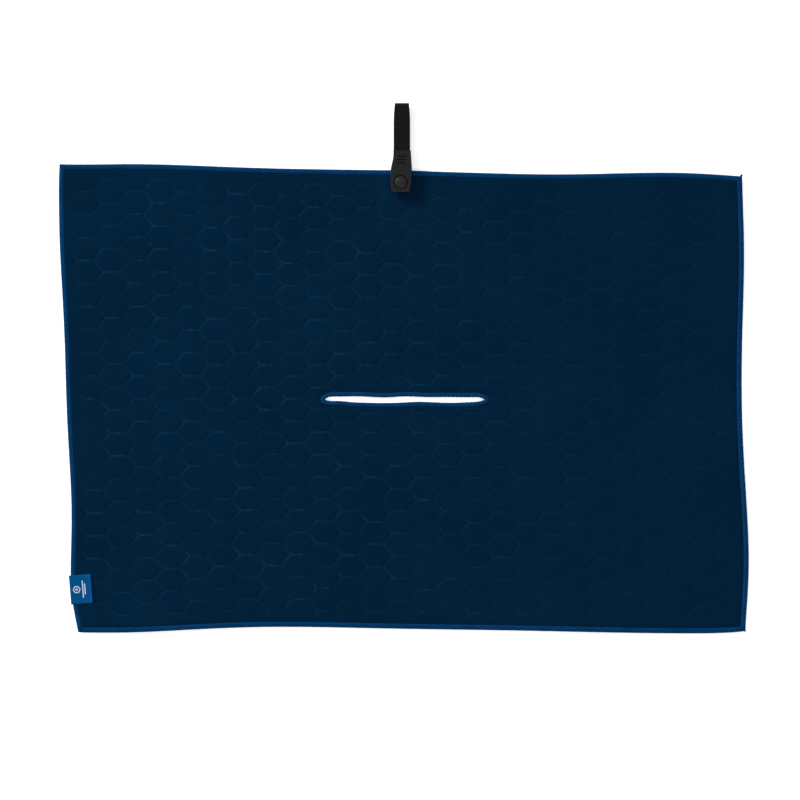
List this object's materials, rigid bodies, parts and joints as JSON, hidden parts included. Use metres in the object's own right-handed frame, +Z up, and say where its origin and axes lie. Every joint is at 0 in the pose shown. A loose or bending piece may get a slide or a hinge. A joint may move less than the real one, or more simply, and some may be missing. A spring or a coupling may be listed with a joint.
{
  "type": "golf towel",
  "caption": "Navy microfibre golf towel with embossed hexagons, a hemmed centre slot and a webbing loop that opens with a snap.",
  "frame": {"origin": "under the middle of the whole object's bounding box, on the surface the towel lies on", "axes": "+X along the long side, +Y towards the webbing loop, +Z up out of the cloth's face"},
  "size_m": [0.769, 0.591, 0.0109],
  "materials": {
    "microfibre": "matt, hex embossed",
    "hem_thread": "overlock thread",
    "label_satin": "woven satin",
    "label_thread": "thread",
    "webbing": "ribbed nylon",
    "black_thread": "thread",
    "tab_plastic": "satin",
    "snap_plastic": "semi-gloss",
    "snap_metal": "black oxide",
    "spring_steel": "bright wire"
  },
  "bodies": {
    "towel_upper": {"cloth_upper_half": "microfibre", "overlock_top": "hem_thread", "overlock_left_upper": "hem_thread", "overlock_right_upper": "hem_thread", "slot_overlock_upper": "hem_thread", "strap_rear_leg": "webbing", "strap_bartack": "black_thread", "snap_post": "snap_metal", "snap_stud": "snap_metal"},
    "towel_lower": {"cloth_lower_half": "microfibre", "overlock_bottom": "hem_thread", "overlock_left_lower": "hem_thread", "overlock_right_lower": "hem_thread", "slot_overlock_lower": "hem_thread", "woven_label": "label_satin", "label_stitches": "label_thread"},
    "strap_front": {"strap_front_leg": "webbing", "strap_crown": "webbing", "moulded_tab": "tab_plastic", "snap_cap": "snap_plastic", "snap_socket": "snap_metal", "snap_spring": "spring_steel"}
  },
  "joints": [
    {"name": "towel_fold", "type": "hinge", "parent": "towel_upper", "child": "towel_lower", "pos_m": [-0.00102, -0.03468, 0.0029], "axis": [-1, 0, 0], "range_deg": [0, 177]},
    {"name": "strap_open", "type": "hinge", "parent": "towel_upper", "child": "strap_front", "pos_m": [-0.00222, 0.29172, 0.0044], "axis": [-1, 0, 0], "range_deg": [0, 165], "deforming": ["strap_crown", "snap_spring"]}
  ]
}
